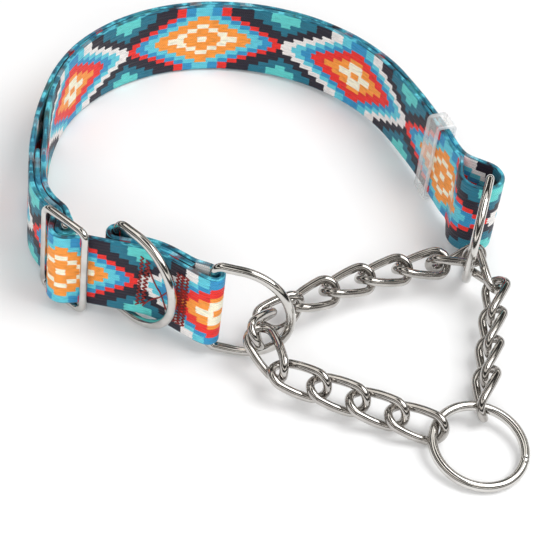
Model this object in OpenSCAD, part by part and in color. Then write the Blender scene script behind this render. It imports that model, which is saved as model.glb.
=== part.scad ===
// Martingale dog collar, standing on its edge as it is laid out for sale.
// One folded webbing strap makes the neck loop. It holds a D ring in each end
// fold, a third one for tags, and carries an adjuster and a clear keeper.
// A loop of twisted links runs through both end rings and the leash ring.
// Lengths in millimetres, +Z up, +Y towards the back of the neck loop.

/* [Webbing] */
// Width of the webbing
web_width = 25; // [20:0.5:28]
// Thickness of one layer
web_thick = 1.5; // [1.2:0.1:1.7]
// Air between stacked layers
layer_gap = 0.3; // [0.15:0.05:0.6]
// Air between webbing and the metal it wraps
wrap_fit = 0.35; // [0.25:0.05:0.6]

/* [Neck loop] */
// Heading of the strap where it enters the adjuster, anticlockwise from +X
adjuster_heading = 144; // [142:0.5:150]
// Radius of the bend beside the adjuster
corner_radius = 22; // [18:0.5:26]
// Angle turned by that bend
corner_turn = 40; // [35:0.5:45]
// Radius of the long side
side_radius = 140; // [120:1:160]
// Angle turned along the side
side_turn = 20; // [16:0.5:24]
// Radius of the back of the neck
back_radius = 58; // [54:0.5:62]
// Angle turned round the back
back_turn = 140; // [130:0.5:145]
// Radius of the shoulder that the keeper slides on
shoulder_radius = 220; // [200:1:280]
// Angle turned along the shoulder
shoulder_turn = 9; // [7:0.1:12]
// Radius of the outward flare before the right end ring
flare_radius = 25; // [20:1:30]
// Angle turned by the flare
flare_turn = 11; // [6:0.5:16]
// Distance between the bars of the end rings, as the chain lets them part
end_ring_span = 92.9; // [85:0.1:98]
// Share of the side that the cut end reaches along
tail_share = 0.25; // [0.1:0.05:0.5]

/* [End loop of the strap] */
// Centreline radius of the round end
loop_radius = 6.1; // [5:0.1:7.5]
// Angle at which the two layers part
loop_spread = 35; // [30:0.5:42]
// Radius of the bends where they part
loop_neck_radius = 6; // [4:0.5:8]

/* [Front section] */
// Bend of the strap where it leaves the adjuster
front_turn = 33; // [25:0.5:40]
// Length from the adjuster to the dip
near_length = 14.5; // [14:0.5:18]
// Radius of the dip behind the tag ring
dip_radius = 20; // [15:0.5:26]
// Angle turned by the dip
dip_turn = 25; // [18:0.5:30]
// Length from the dip to the last bend
far_length = 11; // [8:0.5:16]
// Radius of the last bend
rise_radius = 12; // [8:0.5:18]
// Angle turned by the last bend
rise_turn = 15; // [10:0.5:20]
// Distance of the tag ring bar from the adjuster
tag_along = 7.5; // [5:0.25:8]
// Distance of the near bar tack from the left end ring
near_tack_offset = 8.5; // [7:0.5:11]
// Distance of the far bar tack from the tag ring bar
far_tack_offset = 8.4; // [7.5:0.1:12]
// Thickness of the sewing thread
thread = 0.5; // [0.3:0.05:0.8]

/* [Adjuster] */
// Wire diameter of the adjuster
adjuster_wire = 2.3; // [2:0.1:2.6]
// Distance between neighbouring bars
bar_spacing = 8; // [7.5:0.1:9.5]
// Play of the webbing on the outer bars
bar_play = 0.45; // [0.3:0.05:0.8]
// Play of the webbing between the two rails
rail_play = 0.7; // [0.5:0.1:1.5]
// Bend radius of the adjuster's corners
adjuster_corner = 2.4; // [1.8:0.1:2.8]

/* [D rings] */
// Wire diameter of the three D rings
ring_wire = 2.7; // [2.3:0.1:3]
// Play of the webbing inside a D ring, top and bottom
ring_play = 1.1; // [0.7:0.05:1.6]
// Length of the straight legs
ring_leg = 7.5; // [6.5:0.1:8.5]
// Bend radius of the corners at the bar
ring_corner = 2.6; // [2:0.1:2.8]
// Heading of the left end ring
left_ring_heading = -5; // [-10:0.5:0]
// Heading of the right end ring
right_ring_heading = -97; // [-102:0.5:-92]
// Swing of the tag ring away from the strap
tag_ring_swing = 34; // [34:1:70]

/* [Chain] */
// Wire diameter of the links
link_wire = 2.5; // [2.2:0.1:2.8]
// Inside length of a link
link_length = 13.5; // [13:0.1:14.5]
// Inside width of a link
link_gap = 5.1; // [4.8:0.1:5.6]
// Twist from one end of a link to the other
link_twist = 85; // [75:0.5:95]
// Play at each hook of the left run
left_slack = 2.3; // [0.8:0.1:3.5]
// Play at each hook of the upper run, which bows when it is slack
upper_slack = 1.55; // [0.6:0.05:3]
// Play at each hook of the right run
right_slack = 2.9; // [1.5:0.1:3.5]
// Roll of the links in the left run
left_roll = 34; // [20:1:50]
// Roll of the links in the upper run
upper_roll = -177; // [-190:1:-160]
// Roll of the links in the right run
right_roll = 73; // [60:1:85]

/* [Leash ring] */
// Inside diameter of the leash ring
leash_ring_inner = 23; // [20:0.5:26]
// Wire diameter of the leash ring
leash_ring_wire = 2.8; // [2.5:0.1:3.2]
// Angle at which it leans on the chain
leash_ring_tilt = 8.3; // [7:0.1:12]

/* [Keeper] */
// Width of the keeper along the strap
keeper_length = 7; // [5:0.5:12]
// Wall thickness of the keeper
keeper_wall = 1.2; // [0.8:0.1:1.8]
// Play between the keeper and the strap
keeper_play = 0.6; // [0.4:0.05:1.2]
// Distance of the keeper from the end of the shoulder
keeper_offset = 5; // [2:0.5:12]

/* [Hidden] */

round_fn = 48;

// Plane geometry: a pose is [x, y, heading]

function heading_vector(h) = [cos(h), sin(h)];
function left_of(p, d) = [p.x - d * sin(p[2]), p.y + d * cos(p[2])];
function line_step(p, d) = [p.x + d * cos(p[2]), p.y + d * sin(p[2]), p[2]];
function arc_step(p, r, a) =
    let (s = sign(a))
    [p.x + s * r * (sin(p[2] + a) - sin(p[2])), p.y - s * r * (cos(p[2] + a) - cos(p[2])), p[2] + a];
function arc_poses(p, r, a, n) = [for (i = [0 : n]) arc_step(p, r, a * i / n)];
function arc_length(r, a) = PI * r * a / 180;
function last(list) = list[len(list) - 1];
function reversed(list) = [for (i = [len(list) - 1 : -1 : 0]) list[i]];
function smooth(t) = let (c = max(0, min(1, t))) c * c * (3 - 2 * c);
function circle_points(centre, r, a0, a1, n) =
    [for (i = [0 : n]) let (a = a0 + (a1 - a0) * i / n) centre + r * [cos(a), sin(a)]];
function unit(v) = v / norm(v);
function plan(p) = [p.x, p.y];

// Strap: outer layer as a chain of arcs, clockwise round the neck

layer = web_thick + layer_gap;
bar_wrap = adjuster_wire / 2 + bar_play + web_thick / 2;
fold_wrap = adjuster_wire / 2 + wrap_fit + web_thick / 2;
over_wrap = fold_wrap + layer;
ring_wrap = ring_wire / 2 + wrap_fit + web_thick / 2;
cross_angle = asin((over_wrap + bar_wrap) / bar_spacing);
return_angle = asin((bar_wrap + 2 * layer - fold_wrap) / bar_spacing);

// The adjuster's centre bar is at [0, 0] while the strap is laid out: u runs
// towards the front section and v points out of the neck loop.
u_axis = heading_vector(adjuster_heading + 180);
v_axis = heading_vector(adjuster_heading + 90);
function from_adjuster(uv) = uv.x * u_axis + uv.y * v_axis;
function all_from_adjuster(list) = [for (p = list) from_adjuster(p)];

// Front section: distances run from the adjuster to the left end ring.
front_start = concat(
    from_adjuster([bar_spacing - bar_wrap * sin(front_turn), -bar_wrap * cos(front_turn)]),
    [adjuster_heading + 180 + front_turn]);
dip_at = near_length;
far_at = dip_at + arc_length(dip_radius, dip_turn);
rise_at = far_at + far_length;
front_length = rise_at + arc_length(rise_radius, rise_turn);
dip_start = line_step(front_start, near_length);
dip_end = arc_step(dip_start, dip_radius, -dip_turn);
rise_start = line_step(dip_end, far_length);
function front_at(t) =
    t < dip_at ? line_step(front_start, t)
    : t < far_at ? arc_step(dip_start, dip_radius, -(t - dip_at) / dip_radius * 180 / PI)
    : t < rise_at ? line_step(dip_end, t - far_at)
    : arc_step(rise_start, rise_radius, (t - rise_at) / rise_radius * 180 / PI);
function on_front(t, lateral) = left_of(front_at(t), lateral);

tag_slack = 0.15;
tag_wrap = ring_wrap + tag_slack;
tag_lateral = layer + tag_wrap;
near_tack_at = front_length - near_tack_offset;
far_tack_at = tag_along + far_tack_offset;
function back_lateral(t) =
    t > near_tack_at
    ? 2 * layer + (2 * ring_wrap - 2 * layer) * smooth((t - near_tack_at) / 6)
    : 2 * layer + (tag_lateral + tag_wrap - 2 * layer)
        * smooth((far_tack_at - t) / (far_tack_at - tag_along));
end_heading = front_at(front_length)[2];
left_bar = on_front(front_length, ring_wrap);
tag_bar = on_front(tag_along, tag_lateral);
tag_fold_heading = front_at(tag_along)[2];

// Round end loop that holds the right end ring, symmetric about its axis.
loop_straight = (loop_radius * cos(loop_spread) - layer / 2
    - loop_neck_radius * (1 - cos(loop_spread))) / sin(loop_spread);
loop_reach = (loop_neck_radius + loop_radius) * sin(loop_spread) + loop_straight * cos(loop_spread);
loop_bar = loop_reach + loop_radius - web_thick / 2 - wrap_fit - ring_wire / 2;

// The webbing flexes: its long bends turn more or less, by one factor, until
// the end rings are as far apart as the chain lets them.
guide_start = concat(from_adjuster([-bar_spacing, -bar_wrap]), [adjuster_heading]);
corner_end = arc_step(guide_start, corner_radius, -corner_turn);
function side_end(f) = arc_step(corner_end, side_radius, -side_turn * f);
function back_end(f) = arc_step(side_end(f), back_radius, -back_turn * f);
function shoulder_end(f) = arc_step(back_end(f), shoulder_radius, -shoulder_turn * f);
function flare_end(f) = arc_step(shoulder_end(f), flare_radius, flare_turn);
function loop_axis_at(f) = concat(left_of(flare_end(f), -layer / 2), [flare_end(f)[2]]);
function span_at(f) = norm(plan(line_step(loop_axis_at(f), loop_bar)) - left_bar);
function solve_flex(low, high, steps) =
    let (f = (low + high) / 2)
    steps == 0 ? f : span_at(f) > end_ring_span ? solve_flex(f, high, steps - 1)
    : solve_flex(low, f, steps - 1);
flex = solve_flex(0.6, 1.4, 40);

corner_poses = arc_poses(guide_start, corner_radius, -corner_turn, 10);
side_steps = 12;
side_poses = arc_poses(corner_end, side_radius, -side_turn * flex, side_steps);
back_poses = arc_poses(last(side_poses), back_radius, -back_turn * flex, 34);
shoulder_poses = arc_poses(last(back_poses), shoulder_radius, -shoulder_turn * flex, 8);
flare_poses = arc_poses(last(shoulder_poses), flare_radius, flare_turn, 3);
guide_poses = concat(corner_poses, side_poses, back_poses, shoulder_poses, flare_poses);

// The cut end lies between the outer and inner layers beside the adjuster.
tail_steps = round(tail_share * side_steps);
tail_poses = concat(corner_poses, [for (i = [1 : tail_steps]) side_poses[i]]);
tail_points = reversed([for (p = tail_poses) left_of(p, -layer)]);
fold_points = all_from_adjuster(concat(
    circle_points([-bar_spacing, 0], bar_wrap + layer, -90, -90 + cross_angle, 8),
    circle_points([0, 0], fold_wrap, 90 + cross_angle, -90 + return_angle, 16),
    circle_points([-bar_spacing, 0], bar_wrap + 2 * layer, -90 + return_angle, -90, 5)));
function side_lateral(i) = -2 * layer + layer * smooth((i / side_steps - tail_share - 0.05) / 0.6);
inner_points = concat(
    [for (p = corner_poses) left_of(p, -2 * layer)],
    [for (i = [1 : side_steps]) left_of(side_poses[i], side_lateral(i))],
    [for (p = concat(back_poses, shoulder_poses, flare_poses)) left_of(p, -layer)]);

loop_start = last(flare_poses);
loop_axis = loop_axis_at(flex);
loop_centre = plan(line_step(loop_axis, loop_reach));
loop_neck_in = arc_poses(concat(left_of(loop_start, -layer), [loop_start[2]]),
                         loop_neck_radius, -loop_spread, 4);
loop_neck_out = arc_poses(loop_start, loop_neck_radius, loop_spread, 4);
loop_points = concat(
    [for (p = loop_neck_in) plan(p)],
    circle_points(loop_centre, loop_radius, loop_axis[2] - 90 - loop_spread,
                  loop_axis[2] + 90 + loop_spread, 20),
    [for (p = reversed(loop_neck_out)) plan(p)]);
outer_points = reversed([for (p = guide_poses) plan(p)]);
weave_points = all_from_adjuster(concat(
    circle_points([-bar_spacing, 0], bar_wrap, -90, -90 + cross_angle, 6),
    circle_points([0, 0], over_wrap, 90 + cross_angle, 90 - cross_angle, 12),
    circle_points([bar_spacing, 0], bar_wrap, -90 - cross_angle, -90 - front_turn, 4)));

// Two outer layers of the front section and the ends folded between them.
back_steps = 24;
middle_steps = 16;
middle_length = near_tack_at + 1.5 - tag_along;
front_points = concat(
    [for (i = [1 : 25]) on_front(front_length * i / 26, 0)],
    circle_points(left_bar, ring_wrap, end_heading - 90, end_heading + 90, 14),
    [for (i = [1 : back_steps])
        let (t = front_length + (tag_along - front_length) * i / back_steps)
        on_front(t, back_lateral(t))],
    circle_points(tag_bar, tag_wrap, tag_fold_heading + 100, tag_fold_heading + 270, 13),
    [for (i = [1 : middle_steps]) on_front(tag_along + middle_length * i / middle_steps, layer)]);

strap_points = concat(tail_points, fold_points, inner_points, loop_points, outer_points,
                      weave_points, front_points);

// Outline of a ribbon about a centreline; doubled points are dropped first.
function distinct(list) =
    [for (i = [0 : len(list) - 1]) if (i == 0 || norm(list[i] - list[i - 1]) > 0.05) list[i]];
function normal_at(p, i) =
    let (t = unit(p[min(len(p) - 1, i + 1)] - p[max(0, i - 1)])) [-t.y, t.x];
function ribbon(p, thick) = concat(
    [for (i = [0 : len(p) - 1]) p[i] + normal_at(p, i) * thick / 2],
    [for (i = [len(p) - 1 : -1 : 0]) p[i] - normal_at(p, i) * thick / 2]);

// D rings

ring_half = web_width / 2 + ring_play + ring_wire / 2;
rest_lift = adjuster_wire / 10;
ring_drop = ring_half + ring_wire / 2 - web_width / 2 + rest_lift;
right_bar = plan(line_step(loop_axis, loop_bar));
tag_heading = tag_fold_heading - tag_ring_swing;
tag_ring_lift = 0.5 * ring_play;

// Rest on the ground: both end rings and the back edge touch it

left_foot = left_bar + ring_leg * heading_vector(left_ring_heading);
right_foot = right_bar + ring_leg * heading_vector(right_ring_heading);
foot_line = unit(right_foot - left_foot);
foot_normal = [-foot_line.y, foot_line.x];
back_reach = max([for (p = guide_poses) (plan(p) - left_foot) * foot_normal]) + web_thick / 2;
strap_lean = atan(ring_drop / back_reach);

// Chain: points where neighbouring links hook, [x, y, z]

left_pitch = link_length - left_slack;
upper_pitch = link_length - upper_slack;
right_pitch = link_length - right_slack;

// Where the chain turns the corner through an end ring: its height, and how
// far the ring's round end reaches beyond the legs at that height.
crossing_height = 11.7;
ring_height = web_width / 2 + ring_drop;
ring_reach = ring_leg + sqrt(ring_half ^ 2 - (crossing_height - ring_height) ^ 2);

// A hook is [distance past the ring's round end, offset to its left, height
// above the crossing], laid out for links of one length and spread with them.
laid_out_length = 13.5;
link_scale = link_length / laid_out_length;
function by_ring(bar, heading, hook) =
    concat(bar + (ring_reach + hook.x * link_scale) * heading_vector(heading)
               + hook.y * link_scale * heading_vector(heading + 90),
           [crossing_height + hook.z * link_scale]);
function by_left_ring(hook) = by_ring(left_bar, left_ring_heading, hook);
function by_right_ring(hook) = by_ring(right_bar, right_ring_heading, hook);

left_run_hook = by_left_ring([0.75, -10.4, -3.7]);
corner_hook = by_left_ring([-8.05, -1.3, 0]);
behind_hook = by_left_ring([-7.45, 7.4, -3.6]);
upper_run_hook = by_left_ring([-0.05, 17.7, -4.9]);
upper_end_hook = by_right_ring([-5.15, -8.6, -3]);
crossing_hook = by_right_ring([-7.95, -0.6, 0]);
right_run_hook = by_right_ring([1.35, 8.7, -1.2]);

// Rolls of the links that turn the corners at the end rings.
left_link_roll = 133.5;
corner_link_roll = -90.5;
behind_link_roll = -138;
before_crossing_roll = 144.5;
after_crossing_roll = 108;

// The leash ring sits where the left and right runs meet.
run_links = 4;
hook_reach = link_length / 2 - leash_ring_wire / 2 - 0.35;
leash_radius = (leash_ring_inner + leash_ring_wire) / 2;
left_reach = (run_links - 0.5) * left_pitch + hook_reach + leash_radius;
right_reach = (run_links - 0.5) * right_pitch + hook_reach + leash_radius;
hook_line = plan(right_run_hook) - plan(left_run_hook);
hook_along = (norm(hook_line) ^ 2 + left_reach ^ 2 - right_reach ^ 2) / (2 * norm(hook_line));
hook_aside = sqrt(left_reach ^ 2 - hook_along ^ 2);
leash_centre = plan(left_run_hook) + hook_along * unit(hook_line)
    + hook_aside * [unit(hook_line).y, -unit(hook_line).x];
leash_lift = leash_ring_wire / 2 + leash_radius * sin(leash_ring_tilt);
leash_lean_heading = 120;
function leash_height(p) =
    leash_lift + tan(leash_ring_tilt) * ((plan(p) - leash_centre) * heading_vector(leash_lean_heading));

function run_end(hook, pitch) =
    let (d = unit(leash_centre - plan(hook)), q = plan(hook) + d * run_links * pitch)
    concat(q, [leash_height(leash_centre - d * leash_radius)]);
left_run_end = run_end(left_run_hook, left_pitch);
right_run_end = run_end(right_run_hook, right_pitch);
function between(a, b, t) = a + (b - a) * t;

// A slack run of links bows into an arc: half the turn from link to link, found
// by halving, gives the arc whose chords have the run's pitch.
function bow_half_turn(ratio, low, high, steps) =
    let (middle = (low + high) / 2)
    steps == 0 ? middle
    : sin(run_links * middle) / sin(middle) > ratio ? bow_half_turn(ratio, middle, high, steps - 1)
    : bow_half_turn(ratio, low, middle, steps - 1);
upper_line = plan(upper_end_hook) - plan(upper_run_hook);
upper_heading = atan2(upper_line.y, upper_line.x);
upper_bow = bow_half_turn(norm(upper_line) / upper_pitch, 0, 180 / run_links, 30);
upper_step = norm(upper_line) * sin(upper_bow) / sin(run_links * upper_bow);
upper_plan = [for (i = 0, at = plan(upper_run_hook); i <= run_links;
    at = at + upper_step * heading_vector(upper_heading + (run_links - 1 - 2 * i) * upper_bow),
    i = i + 1) at];
upper_points = [for (i = [0 : run_links])
    concat(upper_plan[i],
           [between(upper_run_hook.z, upper_end_hook.z, i / run_links)])];

// Twisted link, its long axis from hook a to hook b

link_radius = (link_gap + link_wire) / 2;
link_half = (link_length + link_wire) / 2 - link_radius;
end_steps = 9;
side_span = 3;
link_stations = concat(
    [for (i = [0 : side_span - 1]) [link_half - 2 * link_half * i / side_span, link_radius]],
    [for (i = [0 : end_steps - 1])
        let (a = 90 + 180 * i / end_steps) [-link_half + link_radius * cos(a), link_radius * sin(a)]],
    [for (i = [0 : side_span - 1]) [-link_half + 2 * link_half * i / side_span, -link_radius]],
    [for (i = [0 : end_steps - 1])
        let (a = 270 + 180 * i / end_steps) [link_half + link_radius * cos(a), link_radius * sin(a)]]);
function twist_at(x) = link_twist / 2 * x / (link_half + link_radius);
link_path = [for (s = link_stations) [s.x, s.y * cos(twist_at(s.x)), s.y * sin(twist_at(s.x))]];
link_sides = 8;
function link_section(i) =
    let (n = len(link_path),
         t = unit(link_path[(i + 1) % n] - link_path[(i + n - 1) % n]),
         f = twist_at(link_path[i].x),
         v = [0, -sin(f), cos(f)],
         up = unit(v - (v * t) * t),
         side = cross(t, up))
    [for (k = [0 : link_sides - 1])
        let (a = 360 * (k + 0.5) / link_sides)
        link_path[i] + link_wire / 2 * (cos(a) * side + sin(a) * up)];
link_points = [for (i = [0 : len(link_path) - 1]) each link_section(i)];
link_faces = [for (i = [0 : len(link_path) - 1]) for (k = [0 : link_sides - 1])
    let (n = link_sides, m = len(link_points), a = i * n + k, b = i * n + (k + 1) % n,
         c = (b + n) % m, d = (a + n) % m)
    each [[a, b, c], [a, c, d]]];

module link_between(a, b, roll) {
    x = unit(b - a);
    y0 = unit(cross([0, 0, 1], x));
    z0 = cross(x, y0);
    y = cos(roll) * y0 + sin(roll) * z0;
    z = cos(roll) * z0 - sin(roll) * y0;
    color("silver")
        polyhedron(points = [for (p = link_points) (a + b) / 2 + p.x * x + p.y * y + p.z * z - bench],
                   faces = link_faces);
}

module run_link(a, b, index, roll) {
    link_between(between(a, b, (index - 1) / run_links), between(a, b, index / run_links), roll);
}

// Origin under the middle of the whole collar

low_x = min([for (p = strap_points) p.x]) - web_thick / 2;
high_y = max([for (p = strap_points) p.y]) + web_thick / 2;
high_x = leash_centre.x + leash_ring_inner / 2 + leash_ring_wire;
low_y = leash_centre.y - leash_ring_inner / 2 - leash_ring_wire;
bench = [(low_x + high_x) / 2, (low_y + high_y) / 2, 0];

module on_bench() {
    translate(-bench)
        children();
}

module strap_frame() {
    on_bench()
        translate([left_foot.x, left_foot.y, 0])
            rotate(a = -strap_lean, v = [foot_line.x, foot_line.y, 0])
                translate([-left_foot.x, -left_foot.y, ring_drop])
                    children();
}

// Wire forms

// Bar on the Z axis, legs and arc towards +X.
module d_ring_form() {
    bar_straight = 2 * (ring_half - ring_corner);
    translate([0, 0, -bar_straight / 2])
        cylinder(d = ring_wire, h = bar_straight, $fn = round_fn);
    for (side = [-1, 1]) {
        translate([ring_corner, 0, side * (ring_half - ring_corner)])
            rotate([90, 0, 0])
                rotate([0, 0, side > 0 ? 90 : 180])
                    rotate_extrude(angle = 90, $fn = round_fn)
                        translate([ring_corner, 0])
                            circle(d = ring_wire, $fn = round_fn);
        translate([ring_corner, 0, side * ring_half])
            rotate([0, 90, 0])
                cylinder(d = ring_wire, h = ring_leg - ring_corner, $fn = round_fn);
    }
    translate([ring_leg, 0, 0])
        rotate([90, 0, 0])
            rotate([0, 0, -90])
                rotate_extrude(angle = 180, $fn = round_fn)
                    translate([ring_half, 0])
                        circle(d = ring_wire, $fn = round_fn);
}

module d_ring_at(bar, heading, lift = 0) {
    color("silver")
        strap_frame()
            translate([bar.x, bar.y, web_width / 2 + lift])
                rotate([0, 0, heading])
                    d_ring_form();
}

// Sub-parts

module webbing_strap() {
    color("teal")
        strap_frame()
            linear_extrude(height = web_width)
                polygon(ribbon(distinct(strap_points), web_thick));
}

// Rows of stitches on both faces of the sewn layers at distance t.
tack_rows = 2;
tack_pitch = 2;
stitch_length = 1.6;
tack_margin = 3;
row_spacing = 2.4;
tack_air = 0.2;
module bar_tack(t) {
    count = floor((web_width - 2 * tack_margin) / tack_pitch);
    rise = (web_thick + thread) / 2 + tack_air;
    for (row = [0 : tack_rows - 1]) {
        at = t + (row - 0.5) * row_spacing;
        for (lateral = [-rise, back_lateral(at) + rise])
            for (i = [0 : count - 1]) {
                foot = on_front(at, lateral);
                translate([foot.x, foot.y, tack_margin + (i + 0.5) * tack_pitch])
                    rotate([0, 0, front_at(t)[2]])
                        rotate([0, row == 0 ? 25 : -25, 0])
                            cube([thread, thread, stitch_length], center = true);
            }
    }
}

module near_bar_tack() {
    color("darkred")
        strap_frame()
            bar_tack(near_tack_at);
}

module far_bar_tack() {
    color("darkred")
        strap_frame()
            bar_tack(far_tack_at);
}

// Three bars between two rails, bent from one wire with the middle bar added.
module adjuster_form() {
    rail = web_width / 2 + rail_play + adjuster_wire / 2;
    bar_straight = 2 * (rail - adjuster_corner);
    rail_straight = 2 * (bar_spacing - adjuster_corner);
    for (u = [-bar_spacing, bar_spacing])
        translate([u, 0, -bar_straight / 2])
            cylinder(d = adjuster_wire, h = bar_straight, $fn = round_fn);
    translate([0, 0, -rail])
        cylinder(d = adjuster_wire, h = 2 * rail, $fn = round_fn);
    for (side = [-1, 1]) {
        translate([-rail_straight / 2, 0, side * rail])
            rotate([0, 90, 0])
                cylinder(d = adjuster_wire, h = rail_straight, $fn = round_fn);
        for (end = [-1, 1])
            translate([end * (bar_spacing - adjuster_corner), 0, side * (rail - adjuster_corner)])
                rotate([90, 0, 0])
                    rotate([0, 0, side > 0 ? (end > 0 ? 0 : 90) : (end > 0 ? 270 : 180)])
                        rotate_extrude(angle = 90, $fn = round_fn)
                            translate([adjuster_corner, 0])
                                circle(d = adjuster_wire, $fn = round_fn);
    }
}

module adjuster_slide() {
    color("silver")
        strap_frame()
            translate([0, 0, web_width / 2 + rail_play - wrap_fit])
                rotate([0, 0, adjuster_heading + 180])
                    adjuster_form();
}

module tag_ring() {
    d_ring_at(tag_bar, tag_heading, tag_ring_lift);
}

module left_end_ring() {
    d_ring_at(left_bar, left_ring_heading);
}

module right_end_ring() {
    d_ring_at(right_bar, right_ring_heading);
}

// Closed band, curved like the shoulder so that it slides along it.
shoulder_centre = left_of(last(shoulder_poses), -shoulder_radius);
shoulder_end_angle = last(shoulder_poses)[2] + 90;
keeper_turn = keeper_length / shoulder_radius * 180 / PI;
keeper_end_angle = shoulder_end_angle + keeper_offset / shoulder_radius * 180 / PI;
module strap_keeper() {
    depth = 2 * web_thick + layer_gap + 2 * keeper_play;
    height = web_width + 2 * keeper_play;
    inside = shoulder_radius + web_thick / 2 + keeper_play - depth;
    color("white", 0.6)
        strap_frame()
            translate([shoulder_centre.x, shoulder_centre.y, -keeper_play])
                rotate([0, 0, keeper_end_angle])
                    rotate_extrude(angle = keeper_turn, $fn = round_fn)
                        difference() {
                            translate([inside - keeper_wall, -keeper_wall])
                                square([depth + 2 * keeper_wall, height + 2 * keeper_wall]);
                            translate([inside, 0])
                                square([depth, height]);
                        }
}

module leash_ring() {
    color("silver")
        on_bench()
            translate([leash_centre.x, leash_centre.y, leash_lift])
                rotate([0, 0, leash_lean_heading])
                    rotate([0, -leash_ring_tilt, 0])
                        rotate_extrude($fn = 96)
                            translate([leash_radius, 0])
                                circle(d = leash_ring_wire, $fn = round_fn);
}

module corner_link() {
    link_between(corner_hook, behind_hook, corner_link_roll);
}

module left_link_1() {
    link_between(left_run_hook, corner_hook, left_link_roll);
}

module left_link_2() {
    run_link(left_run_hook, left_run_end, 1, left_roll);
}

module left_link_3() {
    run_link(left_run_hook, left_run_end, 2, left_roll);
}

module left_link_4() {
    run_link(left_run_hook, left_run_end, 3, left_roll);
}

module left_link_5() {
    run_link(left_run_hook, left_run_end, 4, left_roll);
}

module upper_link_1() {
    link_between(behind_hook, upper_run_hook, behind_link_roll);
}

module upper_link_2() {
    link_between(upper_points[0], upper_points[1], upper_roll);
}

module upper_link_3() {
    link_between(upper_points[1], upper_points[2], upper_roll);
}

module upper_link_4() {
    link_between(upper_points[2], upper_points[3], upper_roll);
}

module upper_link_5() {
    link_between(upper_points[3], upper_points[4], upper_roll);
}

module upper_link_6() {
    link_between(upper_end_hook, crossing_hook, before_crossing_roll);
}

module right_link_1() {
    link_between(crossing_hook, right_run_hook, after_crossing_roll);
}

module right_link_2() {
    run_link(right_run_hook, right_run_end, 1, right_roll);
}

module right_link_3() {
    run_link(right_run_hook, right_run_end, 2, right_roll);
}

module right_link_4() {
    run_link(right_run_hook, right_run_end, 3, right_roll);
}

module right_link_5() {
    run_link(right_run_hook, right_run_end, 4, right_roll);
}

webbing_strap();
near_bar_tack();
far_bar_tack();
adjuster_slide();
tag_ring();
left_end_ring();
right_end_ring();
strap_keeper();
leash_ring();
corner_link();
left_link_1();
left_link_2();
left_link_3();
left_link_4();
left_link_5();
upper_link_1();
upper_link_2();
upper_link_3();
upper_link_4();
upper_link_5();
upper_link_6();
right_link_1();
right_link_2();
right_link_3();
right_link_4();
right_link_5();
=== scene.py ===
from math import asin, atan, atan2, cos, degrees, dist, pi, sin, sqrt, tan, radians as rad
from functools import partial
import bpy
from mathutils import Matrix, Vector


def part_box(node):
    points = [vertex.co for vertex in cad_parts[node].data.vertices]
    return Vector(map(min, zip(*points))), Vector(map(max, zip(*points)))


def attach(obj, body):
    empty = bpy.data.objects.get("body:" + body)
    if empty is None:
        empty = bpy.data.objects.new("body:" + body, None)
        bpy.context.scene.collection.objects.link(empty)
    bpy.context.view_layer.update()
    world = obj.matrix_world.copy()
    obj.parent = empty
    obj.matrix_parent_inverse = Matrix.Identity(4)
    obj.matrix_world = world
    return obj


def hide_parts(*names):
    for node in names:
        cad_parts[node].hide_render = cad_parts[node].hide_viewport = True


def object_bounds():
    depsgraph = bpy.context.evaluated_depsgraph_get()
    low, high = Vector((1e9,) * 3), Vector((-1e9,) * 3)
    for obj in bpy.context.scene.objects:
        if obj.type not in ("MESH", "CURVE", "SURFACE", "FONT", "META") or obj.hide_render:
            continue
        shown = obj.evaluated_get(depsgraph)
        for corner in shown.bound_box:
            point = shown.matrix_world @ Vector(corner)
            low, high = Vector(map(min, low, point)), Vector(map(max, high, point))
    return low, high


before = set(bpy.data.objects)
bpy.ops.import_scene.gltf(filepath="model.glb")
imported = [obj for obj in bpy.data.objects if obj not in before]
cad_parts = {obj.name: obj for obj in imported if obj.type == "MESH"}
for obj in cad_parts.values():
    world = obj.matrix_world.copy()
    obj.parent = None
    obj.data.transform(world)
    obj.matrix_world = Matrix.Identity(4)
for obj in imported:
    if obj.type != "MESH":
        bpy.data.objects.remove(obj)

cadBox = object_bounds()
mm = 0.001


def newObject(name, data):
    obj = bpy.data.objects.new(name, data)
    bpy.context.scene.collection.objects.link(obj)
    return obj


# camera first: everything else is judged through it
viewPoint = {
    "target": (-0.0022672, -0.0119622, 0.0), "elevation": 44, "roll": 9.5, "distance": 0.530,
    "lens": 119.56, "sensor": 36, "clipEnd": 20,
}


def setCamera():
    data = bpy.data.cameras.new("viewCamera")
    data.lens = viewPoint["lens"]
    data.sensor_width = viewPoint["sensor"]
    data.clip_end = viewPoint["clipEnd"]
    data.dof.use_dof = False
    obj = newObject("viewCamera", data)
    tilt = rad(viewPoint["elevation"])
    target = Vector(viewPoint["target"])
    obj.location = target + viewPoint["distance"] * Vector((0, -cos(tilt), sin(tilt)))
    turn = Matrix.Rotation(rad(90) - tilt, 4, "X") @ Matrix.Rotation(rad(viewPoint["roll"]), 4, "Z")
    obj.rotation_euler = turn.to_euler()
    bpy.context.scene.camera = obj


setCamera()
print("camera set")


# shader helpers
def paint(code):
    # a colour as it is written on a chart, in linear values
    parts = [int(code[i:i + 2], 16) / 255 for i in (1, 3, 5)]
    return tuple(p / 12.92 if p <= 0.04045 else ((p + 0.055) / 1.055) ** 2.4 for p in parts) + (1.0,)


def shaderTree(owner, output, shader):
    owner.use_nodes = True
    tree = owner.node_tree
    tree.nodes.clear()
    last = tree.nodes.new(output)
    first = tree.nodes.new(shader)
    tree.links.new(first.outputs[0], last.inputs[0])
    return tree, first


def newMaterial(name):
    material = bpy.data.materials.new(name)
    return material, *shaderTree(material, "ShaderNodeOutputMaterial", "ShaderNodeBsdfPrincipled")


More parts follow.
